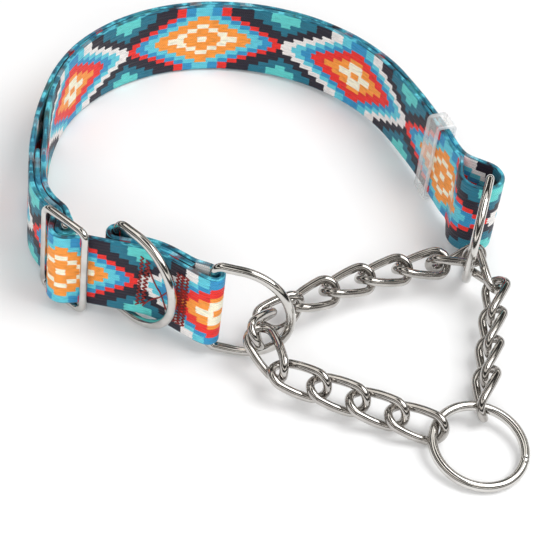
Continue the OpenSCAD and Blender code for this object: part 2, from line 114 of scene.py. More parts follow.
def fill(tree, node, values):
    # inputs by name or number, each linked or given a plain value
    for key, value in values.items():
        if isinstance(value, bpy.types.NodeSocket):
            tree.links.new(value, node.inputs[key])
        else:
            node.inputs[key].default_value = value


def addNode(tree, kind, values, **settings):
    node = tree.nodes.new(kind)
    for name, setting in settings.items():
        setattr(node, name, setting)
    fill(tree, node, values)
    return node


def calc(tree, operation, *values):
    return addNode(tree, "ShaderNodeMath", dict(enumerate(values)), operation=operation).outputs[0]


def vectorCalc(tree, operation, *values):
    return addNode(tree, "ShaderNodeVectorMath", dict(enumerate(values)), operation=operation).outputs[0]


def scaled(tree, vector, factor):
    return addNode(tree, "ShaderNodeVectorMath", {0: vector, "Scale": factor}, operation="SCALE").outputs[0]


def sums(tree):
    # add, take away, multiply and divide within one tree
    return [partial(calc, tree, operation) for operation in ("ADD", "SUBTRACT", "MULTIPLY", "DIVIDE")]


def sloped(tree, value, slope, start):
    return calc(tree, "ADD", start, calc(tree, "MULTIPLY", value, slope))


def mixColor(tree, factor, a, b, blend="MIX"):
    values = {0: factor, 6: a, 7: b}
    return addNode(tree, "ShaderNodeMix", values, data_type="RGBA", blend_type=blend).outputs[2]


def bands(tree, factor, stops, step="CONSTANT"):
    node = addNode(tree, "ShaderNodeValToRGB", {0: factor})
    ramp = node.color_ramp
    ramp.interpolation = step
    while len(ramp.elements) > 1:
        ramp.elements.remove(ramp.elements[-1])
    for i, (place, color) in enumerate(stops):
        element = ramp.elements[0] if i == 0 else ramp.elements.new(place)
        element.position = place
        element.color = color if len(color) == 4 else tuple(color) + (1.0,)
    return node.outputs[0]


def clouded(tree, cloud, tones):
    # one colour drifts into the other as a noise goes from low to high
    low, high = [paint(t) if isinstance(t, str) else t for t in tones]
    return bands(tree, cloud, [(0.3, low), (0.7, high)], "LINEAR")


def noise(tree, vector, scale, detail=2.0, roughness=0.5):
    values = {"Vector": vector, "Scale": scale, "Detail": detail, "Roughness": roughness}
    return addNode(tree, "ShaderNodeTexNoise", values).outputs["Fac"]


def bump(tree, height, d):
    values = {"Height": height, "Strength": d["bump"], "Distance": d["bumpDepth"]}
    return addNode(tree, "ShaderNodeBump", values).outputs[0]


def objectPlace(tree):
    return tree.nodes.new("ShaderNodeTexCoord").outputs["Object"]


# mesh helpers
def newMesh(name, points, faces, material=None, edges=()):
    mesh = bpy.data.meshes.new(name)
    mesh.from_pydata(points, edges, faces)
    if material:
        mesh.materials.append(material)
    return mesh


def addPiece(name, mesh, body, nodes):
    obj = newObject(name, mesh)
    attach(obj, body)
    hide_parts(*nodes)
    return obj


def addMesh(name, points, faces, material, body, slot, nodes, uvs=None):
    mesh = newMesh(name, [tuple(c * mm for c in p) for p in points], faces, material)
    if uvs:
        layer = mesh.uv_layers.new(name="webbing")
        for loop, uv in zip(layer.data, uvs):
            loop.uv = uv
    mesh.shade_smooth()
    return addPiece(name, mesh, body, nodes)


def unit(v):
    return v / v.length


def sweepWire(path, diameter, sides, closed=True, swell=None):
    # round wire along a path; the section is carried along without twisting
    points = [Vector(p) for p in path]
    n = len(points)
    ways = []
    for i in range(n):
        before = points[i - 1] if closed or i else points[i]
        after = points[(i + 1) % n] if closed or i < n - 1 else points[i]
        ways.append(unit(after - before))
    across = [unit(ways[0].orthogonal())]
    for way in ways[1:]:
        across.append(unit(across[-1] - across[-1].dot(way) * way))
    if closed:
        # what the section has turned by, once round, is spread over the whole path
        last = unit(across[-1] - across[-1].dot(ways[0]) * ways[0])
        error = atan2(last.cross(across[0]).dot(ways[0]), last.dot(across[0]))
        across = [Matrix.Rotation(error * i / n, 3, ways[i]) @ s for i, s in enumerate(across)]
    verts = []
    for i, (p, way, side) in enumerate(zip(points, ways, across)):
        up = way.cross(side)
        radius = diameter / 2 * (swell[i] if swell else 1)
        for k in range(sides):
            a = 2 * pi * k / sides
            verts.append(p + radius * (cos(a) * side + sin(a) * up))
    faces = []
    for i in range(n if closed else n - 1):
        for k in range(sides):
            a, b = i * sides + k, i * sides + (k + 1) % sides
            c, d = (b + sides) % (n * sides), (a + sides) % (n * sides)
            faces.append((a, b, c, d))
    if not closed:
        faces.append(tuple(range(sides - 1, -1, -1)))
        faces.append(tuple((n - 1) * sides + k for k in range(sides)))
    return verts, faces


def addWire(name, wire, body, node):
    addMesh(name, *wire, nickelRing, body, "nickel_wire", [node])


def joinParts(parts):
    verts, faces = [], []
    for v, f in parts:
        base = len(verts)
        verts += v
        faces += [tuple(i + base for i in face) for face in f]
    return verts, faces


def circlePart(centre, radius, start, end, steps):
    angles = [rad(start + (end - start) * i / steps) for i in range(steps + 1)]
    return [(centre[0] + radius * cos(a), centre[1] + radius * sin(a)) for a in angles]


def roundedBox(halfWide, halfHigh, radius, steps):
    # (x, y, outward angle) once round a box with rounded corners
    points = []
    for sx, sy, start in ((1, 1, 0), (-1, 1, 90), (-1, -1, 180), (1, -1, 270)):
        corner = (sx * (halfWide - radius), sy * (halfHigh - radius))
        for i, (x, y) in enumerate(circlePart(corner, radius, start, start + 90, steps)):
            points.append((x, y, start + 90 * i / steps))
    return points


def solveBetween(low, high, falls):
    # halve the range until only one value is left
    for _ in range(40):
        middle = (low + high) / 2
        if falls(middle):
            low = middle
        else:
            high = middle
    return middle


# print of the webbing: stepped diamonds of two kinds in turn, mm
printDesign = {
    "mapUnit": 100.0,  # length that the map counts as one
    "spacing": 54.2,  # from one diamond's middle to the next
    "middle": 12.2, "middleRow": 1.1, "row": 1.6, "rows": 6,
    "step": 3.2,  # each row up moves the colours in by this
    "bluntTip": 1.7, "bluntFrom": 14.0, "rampLength": 40.0,
    "bleed": 1.2, "bleedScale": 190.0,
    # colours outwards from a diamond's middle, or from between two diamonds
    "first": ((0, "orange"), (12.1, "red"), (18.6, "blue"), (22.2, "cyan"), (25.7, "white"), (30.1, "ink")),
    "second": ((0, "orange"), (17.9, "cyan"), (21.8, "blue"), (25.1, "red"), (28.2, "ink")),
    "edge": ((0, "aqua"), (4.8, "teal"), (10.6, "ink")),
    # light blocks: half length and half height, or place and half length
    "crossBar": (6.4, 1.2), "crossPost": (2.7, 4.4), "crossEye": (1.6, 1.15), "dot": (1.5, 1.05),
    "blockRing": (9.95, 1.6), "arm": (8.9, 2.7),
    # streaks of dye in the selvedge yarns
    "selvedge": 0.45, "selvedgeCover": 0.86, "streakAlong": 0.22, "streakAcross": 1.4,
    "streaks": ((0.38, "ink"), (0.45, "teal"), (0.52, "teal"), (0.60, "cyan")),
    # herringbone weave
    "yarnAlong": 0.35, "yarnAcross": 2.6, "yarnHeight": 1.2,
    "yarnTones": ((0.28, (0.66, 0.68, 0.71)), (0.5, (1.06, 1.06, 1.06)), (0.75, (1.24, 1.23, 1.21))),
    "ridgeEvery": 0.62, "ridgeRow": 1.05, "ridgeSlant": 0.9, "ridgeHeight": 0.5, "valleyHeight": 0.35,
    # painted shade: the print is multiplied darker in the valleys between the weave's ridges
    "ridgeShadeTones": ((0.0, (0.78, 0.78, 0.78)), (0.6, (1.0, 1.0, 1.0))),
    "bump": 0.55, "bumpDepth": 0.00016, "rough": 0.48, "yarnRough": 0.22,
    "sheen": 0.12, "sheenRough": 0.4, "specular": 0.4,
    "colors": {"ink": "#211d2c", "teal": "#1c7188", "aqua": "#5fd0cc", "cyan": "#5fcbdd",
               "blue": "#2f93c6", "red": "#ee2a24", "orange": "#fb9a3a", "cream": "#fbf5dc",
               "white": "#efebe8"},
}


def makePrintMaterial(width):
    d = printDesign
    material, tree, shader = newMaterial("printedWebbing")
    color = {name: paint(code) for name, code in d["colors"].items()}
    uv = tree.nodes.new("ShaderNodeUVMap")
    uv.uv_map = "webbing"
    parts = addNode(tree, "ShaderNodeSeparateXYZ", {0: uv.outputs[0]})
    num = partial(calc, tree)
    less = partial(num, "LESS_THAN")
    add, minus, times, over = sums(tree)

    def stretched(alongScale, acrossScale):
        values = {0: times(along, alongScale), 1: times(across, acrossScale)}
        return addNode(tree, "ShaderNodeCombineXYZ", values).outputs[0]

    along = times(parts.outputs[0], d["mapUnit"])
    across = times(parts.outputs[1], d["mapUnit"])
    # the print bleeds a little along the yarns
    spill = minus(noise(tree, uv.outputs[0], d["bleedScale"], 1.0), 0.5)
    inkAlong = add(along, times(spill, d["bleed"]))
    fromFirst = num("PINGPONG", inkAlong, d["spacing"])
    fromSecond = minus(d["spacing"], fromFirst)
    fromBetween = num("ABSOLUTE", minus(fromFirst, d["spacing"] / 2))
    fromMiddle = num("ABSOLUTE", minus(across, d["middle"]))

    # every row up from the middle moves the colours one step in, so all edges are stairs
    count = num("CEIL", over(minus(fromMiddle, d["middleRow"]), d["row"]))
    row = num("MINIMUM", num("MAXIMUM", count, 0.0), float(d["rows"]))
    rise = times(row, d["step"])
    inMiddle = less(row, 0.5)
    offMiddle = num("GREATER_THAN", row, 0.5)
    blunt = times(inMiddle, d["bluntTip"])

    def stair(distance):
        tip = times(blunt, num("GREATER_THAN", distance, d["bluntFrom"]))
        return add(add(distance, rise), tip)

    def stairColor(reach, stops):
        length = d["rampLength"]
        return bands(tree, over(reach, length), [(at / length, color[name]) for at, name in stops])

    def block(distance, size):
        return times(less(distance, size[0]), less(fromMiddle, size[1]))

    reachFirst, reachSecond = stair(fromFirst), stair(fromSecond)
    reachBetween = add(fromBetween, minus(d["rows"] * d["step"], rise))
    first = stairColor(reachFirst, d["first"])
    cross = num("MAXIMUM", block(fromFirst, d["crossPost"]), block(fromFirst, d["crossBar"]))
    first = mixColor(tree, cross, first, color["cream"])
    first = mixColor(tree, block(fromFirst, d["crossEye"]), first, color["orange"])
    # the ring of light blocks starts one row up, and the arm takes over in the middle row
    second = stairColor(reachSecond, d["second"])
    ring = times(num("COMPARE", reachSecond, *d["blockRing"]), offMiddle)
    arm = times(num("COMPARE", fromSecond, *d["arm"]), inMiddle)
    lights = num("MAXIMUM", num("MAXIMUM", ring, arm), block(fromSecond, d["dot"]))
    second = mixColor(tree, lights, second, color["cream"])
    base = stairColor(reachBetween, d["edge"])
    base = mixColor(tree, less(reachFirst, d["first"][-1][0]), base, first)
    base = mixColor(tree, less(reachSecond, d["second"][-1][0]), base, second)

    # the selvedge yarns are dyed through, in streaks of teal
    fromCentre = num("ABSOLUTE", minus(across, width / 2))
    atSelvedge = num("GREATER_THAN", fromCentre, width / 2 - d["selvedge"])
    streak = noise(tree, stretched(d["streakAlong"], d["streakAcross"]), 1.0, 2.0)
    dye = bands(tree, streak, [(at, color[name]) for at, name in d["streaks"]], "LINEAR")
    base = mixColor(tree, times(atSelvedge, d["selvedgeCover"]), base, dye)
    # yarn by yarn the ink takes up a little unevenly
    yarn = noise(tree, stretched(d["yarnAlong"], d["yarnAcross"]), 1.0, 3.0, 0.6)
    base = mixColor(tree, 1.0, base, bands(tree, yarn, d["yarnTones"], "LINEAR"), "MULTIPLY")
    # herringbone ridges: short slanted floats in rows along the strap; painted shade darkens the colour in
    # the valleys between them, and they also raise the bump
    slant = add(along, times(num("PINGPONG", across, d["ridgeRow"]), d["ridgeSlant"]))
    ridge = num("SINE", times(slant, 2 * pi / d["ridgeEvery"]))
    valley = num("SINE", times(across, 2 * pi / d["ridgeRow"]))
    # painted shade: where the ridge wave is low, the print colour is darkened
    ridgeShade = bands(tree, sloped(tree, ridge, 0.5, 0.5), d["ridgeShadeTones"], "LINEAR")
    base = mixColor(tree, 1.0, base, ridgeShade, "MULTIPLY")
    height = add(times(ridge, d["ridgeHeight"]), times(valley, d["valleyHeight"]))
    height = add(height, times(yarn, d["yarnHeight"]))
    fill(tree, shader, {
        "Base Color": base, "Roughness": sloped(tree, yarn, d["yarnRough"], d["rough"]),
        "Normal": bump(tree, height, d), "Sheen Weight": d["sheen"],
        "Sheen Roughness": d["sheenRough"], "Specular IOR Level": d["specular"]})
    return material


# bright nickel, clear plastic and thread; tones are the two ends of a drifting colour
nickel = {
    "ring": ((0.54, 0.525, 0.50), (0.68, 0.665, 0.64)), "ringRough": 0.08,
    "link": ((0.40, 0.38, 0.36), (0.56, 0.54, 0.515)), "linkRough": 0.09,
    "cloudScale": 260.0, "cloudRough": 0.04, "cloudHeight": 0.8,
    "fineScale": 2600.0, "fineRough": 0.05, "fineHeight": 0.12,
    "bump": 0.10, "bumpDepth": 0.0003,
}
plastic = {
    "wall": ("#e6e5e1", "#f7f6f3"), "wallCover": 0.24,  # how much it hides of what lies behind
    "rim": ("#c9ccce", "#f2f3f3"), "rimCover": 0.55,
    "hazeScale": 420.0, "hazeCover": 0.10, "hazeRough": 0.14, "rough": 0.08,
    "bump": 0.15, "bumpDepth": 0.0003, "bend": 1.5,  # how much it bends light
}
threadTwist = {
    "tones": ("#5e1212", "#a3302a"), "plyScale": 2400.0,
    "rough": 0.55, "bump": 0.5, "bumpDepth": 0.0001,
}


def makeNickel(name, tones, rough):
    d = nickel
    material, tree, shader = newMaterial(name)
    place = objectPlace(tree)
    cloud = noise(tree, place, d["cloudScale"], 3.0)
    fine = noise(tree, place, d["fineScale"], 2.0)
    height = sloped(tree, fine, d["fineHeight"], calc(tree, "MULTIPLY", cloud, d["cloudHeight"]))
    fill(tree, shader, {
        "Base Color": clouded(tree, cloud, tones), "Metallic": 1.0,
        "Roughness": sloped(tree, cloud, d["cloudRough"], sloped(tree, fine, d["fineRough"], rough)),
        "Normal": bump(tree, height, d)})
    return material


def makeClearPlastic(name, tones, cover):
    d = plastic
    material, tree, shader = newMaterial(name)
    haze = noise(tree, objectPlace(tree), d["hazeScale"], 3.0)
    fill(tree, shader, {
        "Base Color": clouded(tree, haze, tones), "IOR": d["bend"],
        "Roughness": sloped(tree, haze, d["hazeRough"], d["rough"]),
        "Alpha": sloped(tree, haze, d["hazeCover"], cover - d["hazeCover"] / 2),
        "Normal": bump(tree, haze, d)})
    return material


def makeThread():
    d = threadTwist
    material, tree, shader = newMaterial("redThread")
    ply = noise(tree, objectPlace(tree), d["plyScale"], 2.0)
    fill(tree, shader, {
        "Base Color": clouded(tree, ply, d["tones"]), "Roughness": d["rough"],
        "Normal": bump(tree, ply, d)})
    return material


nickelRing = makeNickel("brightNickel", nickel["ring"], nickel["ringRough"])
nickelLink = makeNickel("linkNickel", nickel["link"], nickel["linkRough"])
clearPlastic = makeClearPlastic("clearPlastic", plastic["wall"], plastic["wallCover"])
clearRim = makeClearPlastic("clearRim", plastic["rim"], plastic["rimCover"])
redThread = makeThread()
print("metal, plastic and thread made")


# webbing strap, mm and degrees; bends are (radius, turn)
strap = {
    "width": 25, "thickness": 1.5, "gap": 0.3, "wrapFit": 0.35,
    "adjusterHeading": 144, "corner": (22, 40), "side": (140, 20), "back": (58, 140),
    "shoulder": (220, 9), "flare": (25, 11), "tailShare": 0.25, "endRingSpan": 92.9,
    "closeAfter": 0.05, "closeOver": 0.6,  # shares of the side, past the cut end
    "loopRadius": 6.1, "loopSpread": 35, "loopNeck": 6,
    "frontTurn": 33, "nearLength": 14.5, "dip": (20, 25), "farLength": 11, "rise": (12, 15),
    "tagAlong": 7.5, "nearTack": 8.5, "farTack": 8.4, "pastTack": 1.5, "spreadOver": 6,
    "adjusterWire": 2.3, "barSpacing": 8, "barPlay": 0.45,
    "ringWire": 2.7, "ringPlay": 1.1, "ringLeg": 7.5, "leftHeading": -5, "rightHeading": -97,
    "tagSlack": 0.15, "tagFoldFrom": 100, "tagSwing": 34, "tagLift": 0.55, "restLift": 0.23,
    "station": 0.8, "faceLines": (0.55, 1.4, 4, 7.5, 11),
    "softEdge": ((0.17, 0.72), (0, 0.25)),  # in from the edge, share of the half thickness
    "ripple": 0.025, "rippleAlong": 0.37, "rippleAcross": 0.22,
    "printStart": 123.3,  # first diamond's middle, from the cut end
    "printEase": ((340, 180, 7.1), (530, 110, 17.7)),  # from here, over this length, shifted by this
    "steps": {"corner": 20, "side": 24, "back": 68, "shoulder": 16, "flare": 6, "neck": 8, "loop": 30,
              "front": 52, "fold": 20, "behind": 48, "middle": 32,
              "adjusterFold": (8, 16, 5), "weave": (6, 12, 4)},
}


# its route: a pose is (x, y, heading) in the layout plane
def turnTo(pose, radius, angle):
    x, y, h = pose
    s = 1 if angle > 0 else -1
    return (x + s * radius * (sin(rad(h + angle)) - sin(rad(h))),
            y - s * radius * (cos(rad(h + angle)) - cos(rad(h))), h + angle)


def ahead(pose, d):
    return (pose[0] + d * cos(rad(pose[2])), pose[1] + d * sin(rad(pose[2])), pose[2])


def leftOf(pose, d):
    return (pose[0] - d * sin(rad(pose[2])), pose[1] + d * cos(rad(pose[2])))


def bend(pose, radius, angle, n):
    return [turnTo(pose, radius, angle * i / n) if i else pose for i in range(n + 1)]


def smooth(t):
    t = max(0, min(1, t))
    return t * t * (3 - 2 * t)


# radii of the strap's middle round the adjuster's bars and round the rings
steps = strap["steps"]
half = strap["thickness"] / 2
layer = strap["thickness"] + strap["gap"]
barWrap = strap["adjusterWire"] / 2 + strap["barPlay"] + half
foldWrap = strap["adjusterWire"] / 2 + strap["wrapFit"] + half
overWrap = foldWrap + layer
ringWrap = strap["ringWire"] / 2 + strap["wrapFit"] + half
tagWrap = ringWrap + strap["tagSlack"]
barSpacing = strap["barSpacing"]
crossAngle = degrees(asin((overWrap + barWrap) / barSpacing))
returnAngle = degrees(asin((barWrap + 2 * layer - foldWrap) / barSpacing))


def fromAdjuster(u, v):
    a, b = rad(strap["adjusterHeading"] + 180), rad(strap["adjusterHeading"] + 90)
    return (u * cos(a) + v * cos(b), u * sin(a) + v * sin(b))


def roundBars(arcs, counts):
    # arcs about the adjuster's bars: (where the bar is, radius, start, end)
    points = []
    for (u, radius, start, end), count in zip(arcs, counts):
        points += circlePart((u, 0), radius, start, end, count)
    return [fromAdjuster(*p) for p in points]


# front section first: the left end ring's bar is where it ends
frontTurn = rad(strap["frontTurn"])
frontStart = (fromAdjuster(barSpacing - barWrap * sin(frontTurn), -barWrap * cos(frontTurn))
              + (strap["adjusterHeading"] + 180 + strap["frontTurn"],))
dipRadius, dipTurn = strap["dip"]
riseRadius, riseTurn = strap["rise"]
dipAt = strap["nearLength"]
farAt = dipAt + pi * dipRadius * dipTurn / 180
riseAt = farAt + strap["farLength"]
frontLength = riseAt + pi * riseRadius * riseTurn / 180
dipStart = ahead(frontStart, dipAt)
dipEnd = turnTo(dipStart, dipRadius, -dipTurn)
riseStart = ahead(dipEnd, strap["farLength"])


def frontAt(t):
    if t < dipAt:
        return ahead(frontStart, t)
    if t < farAt:
        return turnTo(dipStart, dipRadius, -degrees((t - dipAt) / dipRadius))
    if t < riseAt:
        return ahead(dipEnd, t - farAt)
    return turnTo(riseStart, riseRadius, max(1e-6, degrees((t - riseAt) / riseRadius)))


tagAlong = strap["tagAlong"]
leftBar = leftOf(frontAt(frontLength), ringWrap)
tagBar = leftOf(frontAt(tagAlong), layer + tagWrap)
endHeading = frontAt(frontLength)[2]
tagFoldHeading = frontAt(tagAlong)[2]
nearTackAt = frontLength - strap["nearTack"]
farTackAt = tagAlong + strap["farTack"]

# round end loop, measured along its axis from where the layers part
loopRadius, loopNeck, loopSpread = strap["loopRadius"], strap["loopNeck"], strap["loopSpread"]
spread = rad(loopSpread)
loopStraight = ((loopRadius * cos(spread) - layer / 2 - loopNeck * (1 - cos(spread)))
                / sin(spread))
loopReach = (loopNeck + loopRadius) * sin(spread) + loopStraight * cos(spread)
barInLoop = loopRadius - half - strap["wrapFit"] - strap["ringWire"] / 2

guideStart = fromAdjuster(-barSpacing, -barWrap) + (strap["adjusterHeading"],)
corner = bend(guideStart, strap["corner"][0], -strap["corner"][1], steps["corner"])


def guideAt(flex):
    bends = [corner]
    for name in ("side", "back", "shoulder"):
        radius, turn = strap[name]
        bends.append(bend(bends[-1][-1], radius, -turn * flex, steps[name]))
    bends.append(bend(bends[-1][-1], *strap["flare"], steps["flare"]))
    end = bends[-1][-1]
    return *bends[1:], leftOf(end, -layer / 2) + (end[2],)


def tooWide(flex):
    return dist(ahead(guideAt(flex)[-1], loopReach + barInLoop)[:2], leftBar) > strap["endRingSpan"]


# the long bends turn by one factor more or less, until the end rings are the right way apart
side, back, shoulder, flare, loopAxis = guideAt(solveBetween(0.6, 1.4, tooWide))
guide = corner + side + back + shoulder + flare
loopCentre = ahead(loopAxis, loopReach)[:2]


def sideLateral(i):
    # the inner layer closes in once the cut end has run out
    past = i / steps["side"] - strap["tailShare"] - strap["closeAfter"]
    return -2 * layer + layer * smooth(past / strap["closeOver"])


def behindLateral(t):
    # the back layer spreads round the left end ring and round the tag ring
    if t > nearTackAt:
        return 2 * layer + (2 * ringWrap - 2 * layer) * smooth((t - nearTackAt) / strap["spreadOver"])
    share = (farTackAt - t) / (farTackAt - tagAlong)
    return 2 * layer + (layer + 2 * tagWrap - 2 * layer) * smooth(share)


def innerRoute():
    # cut end, fold round the adjuster's middle bar, inner layer
    tailSteps = round(strap["tailShare"] * steps["side"])
    tail = [leftOf(p, -layer) for p in reversed(corner + side[1:tailSteps + 1])]
    fold = roundBars(((-barSpacing, barWrap + layer, -90, -90 + crossAngle),
                      (0, foldWrap, 90 + crossAngle, -90 + returnAngle),
                      (-barSpacing, barWrap + 2 * layer, -90 + returnAngle, -90)), steps["adjusterFold"])
    inner = [leftOf(p, -2 * layer) for p in corner]
    inner += [leftOf(side[i], sideLateral(i)) for i in range(1, steps["side"] + 1)]
    inner += [leftOf(p, -layer) for p in back + shoulder + flare]
    return tail + fold + inner


def outerRoute():
    # end loop, outer layer, weave over the adjuster's middle bar
    start = flare[-1]
    neckIn = bend(leftOf(start, -layer) + (start[2],), loopNeck, -loopSpread, steps["neck"])
    neckOut = bend(start, loopNeck, loopSpread, steps["neck"])
    sweep = (loopAxis[2] - 90 - loopSpread, loopAxis[2] + 90 + loopSpread)
    loop = circlePart(loopCentre, loopRadius, *sweep, steps["loop"])
    weave = roundBars(((-barSpacing, barWrap, -90, -90 + crossAngle),
                       (0, overWrap, 90 + crossAngle, 90 - crossAngle),
                       (barSpacing, barWrap, -90 - crossAngle, -90 - strap["frontTurn"])), steps["weave"])
    return [p[:2] for p in neckIn] + loop + [p[:2] for p in neckOut[::-1] + guide[::-1]] + weave


def frontRoute():
    # front layer, fold at the left end ring, back layer, fold at the tag ring, middle layer
    n = steps["front"]
    points = [leftOf(frontAt(frontLength * i / n), 0) for i in range(1, n)]
    points += circlePart(leftBar, ringWrap, endHeading - 90, endHeading + 90, steps["fold"])
    for i in range(1, steps["behind"] + 1):
        t = frontLength + (tagAlong - frontLength) * i / steps["behind"]
        points.append(leftOf(frontAt(t), behindLateral(t)))
    start = tagFoldHeading + strap["tagFoldFrom"]
    points += circlePart(tagBar, tagWrap, start, tagFoldHeading + 270, steps["fold"])
    middle = nearTackAt + strap["pastTack"] - tagAlong
    for i in range(1, steps["middle"] + 1):
        points.append(leftOf(frontAt(tagAlong + middle * i / steps["middle"]), layer))
    return points


route = innerRoute() + outerRoute() + frontRoute()


def resample(points, gap):
    lengths = [0.0]
    for a, b in zip(points, points[1:]):
        lengths.append(lengths[-1] + dist(a, b))
    count = int(lengths[-1] / gap)
    out, i = [], 0
    for n in range(count + 1):
        t = lengths[-1] * n / count
        while i < len(points) - 2 and lengths[i + 1] < t:
            i += 1
        a, b = points[i], points[i + 1]
        part = (t - lengths[i]) / max(1e-9, lengths[i + 1] - lengths[i])
        out.append((a[0] + part * (b[0] - a[0]), a[1] + part * (b[1] - a[1]), t))
    return out


# the strap stands tilted a little: both end rings and the back edge touch the ground
ringHalf = strap["width"] / 2 + strap["ringPlay"] + strap["ringWire"] / 2
ringDrop = ringHalf + strap["ringWire"] / 2 - strap["width"] / 2 + strap["restLift"]
rightBar = ahead(loopCentre + (loopAxis[2],), barInLoop)[:2]
leftFoot = Vector(ahead(leftBar + (strap["leftHeading"],), strap["ringLeg"])[:2])
rightFoot = Vector(ahead(rightBar + (strap["rightHeading"],), strap["ringLeg"])[:2])
footLine = (rightFoot - leftFoot).normalized()
footNormal = Vector((-footLine.y, footLine.x))
backReach = max((Vector(p[:2]) - leftFoot).dot(footNormal) for p in guide) + half
strapLean = degrees(atan(ringDrop / backReach))
leanTurn = Matrix.Rotation(-rad(strapLean), 3, Vector((footLine.x, footLine.y, 0)))
pivot = Vector((leftFoot.x, leftFoot.y, 0))


def standUp(x, y, z):
    return leanTurn @ (Vector((x, y, z + ringDrop)) - pivot) + pivot


def sectionOfWebbing():
    # thin flat section with full, soft edges: (across, out of the face)
    width = strap["width"]
    face = list(strap["faceLines"]) + [width - v for v in reversed(strap["faceLines"])]
    edge = [(width - inward, half * share) for inward, share in strap["softEdge"]]
    edge += [(v, -h) for v, h in reversed(edge)]
    under = [(v, -half) for v in reversed(face)]
    return [(v, half) for v in face] + edge + under + [(width - v, -h) for v, h in edge]


def makeStrap():
    stations = resample(route, strap["station"])
    section = sectionOfWebbing()
    n, m = len(stations), len(section)
    verts, phase = [], []
    for i, (x, y, t) in enumerate(stations):
        a, b = stations[max(0, i - 1)], stations[min(n - 1, i + 1)]
        way = Vector((b[0] - a[0], b[1] - a[1])).normalized()
        normal = Vector((-way.y, way.x))
        eased = sum(shift * smooth((t - start) / span) for start, span, shift in strap["printEase"])
        phase.append((t - strap["printStart"] + eased) / printDesign["mapUnit"])
        for v, h in section:
            # the faces are a touch uneven, as woven tape is
            wave = sin(t * strap["rippleAlong"] + v * strap["rippleAcross"])
            off = h + strap["ripple"] * wave * (1 if h > 0 else -1)
            verts.append(standUp(x + normal.x * off, y + normal.y * off, v))
    heights = [v / printDesign["mapUnit"] for v, h in section]
    faces, uvs = [], []
    for i in range(n - 1):
        for k in range(m):
            a, b = i * m + k, i * m + (k + 1) % m
            faces.append((a, a + m, b + m, b))
            low, high = heights[k], heights[(k + 1) % m]
            uvs += [(phase[i], low), (phase[i + 1], low), (phase[i + 1], high), (phase[i], high)]
    for i, order in ((0, range(m)), (n - 1, range(m - 1, -1, -1))):
        faces.append(tuple(i * m + k for k in order))
        uvs += [(phase[i], heights[k]) for k in order]
    return verts, faces, uvs


strapVerts, strapFaces, strapUvs = makeStrap()
# the layout is moved onto the bench beneath the CAD's own strap
lowCad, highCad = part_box("webbing_strap")
benchShift = Vector((lowCad.x / mm - min(v.x for v in strapVerts),
                     highCad.y / mm - max(v.y for v in strapVerts), 0))
addMesh("webbing", [v + benchShift for v in strapVerts], strapFaces,
        makePrintMaterial(strap["width"]), "webbing", "webbing_print", ["webbing_strap"], strapUvs)
print("webbing made:", len(strapVerts), "points")


# D rings: bar on the upright axis, legs and round end outwards
dRing = {"bar": (-6, 0, 6), "corner": 2.6, "sides": 24, "arcSteps": 64, "cornerSteps": 12}


def dRingPath():
    c, n = dRing["corner"], dRing["cornerSteps"]
    outline = circlePart((c, ringHalf - c), c, 180, 90, n)
    outline += circlePart((strap["ringLeg"], 0), ringHalf, 90, -90, dRing["arcSteps"])
    outline += circlePart((c, c - ringHalf), c, 270, 180, n)
    return [(0, 0, z) for z in dRing["bar"]] + [(x, 0, z) for x, z in outline]


def placeUpright(points, spot, heading, height):
    c, s = cos(rad(heading)), sin(rad(heading))
    return [standUp(spot[0] + x * c - y * s, spot[1] + x * s + y * c, z + height) + benchShift
            for x, y, z in points]


def makeDRing(name, spot, heading, body, node, lift=0.0):
    path = placeUpright(dRingPath(), spot, heading, strap["width"] / 2 + lift)
    addWire(name, sweepWire(path, strap["ringWire"], dRing["sides"]), body, node)


tagHeading = tagFoldHeading - strap["tagSwing"]
makeDRing("leftRing", leftBar, strap["leftHeading"], "left_ring", "left_end_ring")
makeDRing("rightRing", rightBar, strap["rightHeading"], "right_ring", "right_end_ring")
makeDRing("tagRing", tagBar, tagHeading, "tag_ring", "tag_ring", strap["tagLift"])


# adjuster: a bent frame with a middle bar
adjuster = {"corner": 2.4, "cornerSteps": 10, "railPlay": 0.7, "barSlim": 0.98, "barSteps": 4, "sides": 24}


def makeAdjuster():
    rail = strap["width"] / 2 + adjuster["railPlay"] + strap["adjusterWire"] / 2
    height = strap["width"] / 2 + adjuster["railPlay"] - strap["wrapFit"]
    heading = strap["adjusterHeading"] + 180
    box = roundedBox(barSpacing, rail, adjuster["corner"], adjuster["cornerSteps"])
    path = placeUpright([(x, 0, z) for x, z, angle in box], (0, 0), heading, height)
    n = adjuster["barSteps"]
    bar = placeUpright([(0, 0, rail * k / n) for k in range(-n, n + 1)], (0, 0), heading, height)
    wire = joinParts([
        sweepWire(path, strap["adjusterWire"], adjuster["sides"]),
        sweepWire(bar, strap["adjusterWire"] * adjuster["barSlim"], adjuster["sides"], closed=False)])
    addWire("adjuster", wire, "adjuster", "adjuster_slide")


makeAdjuster()


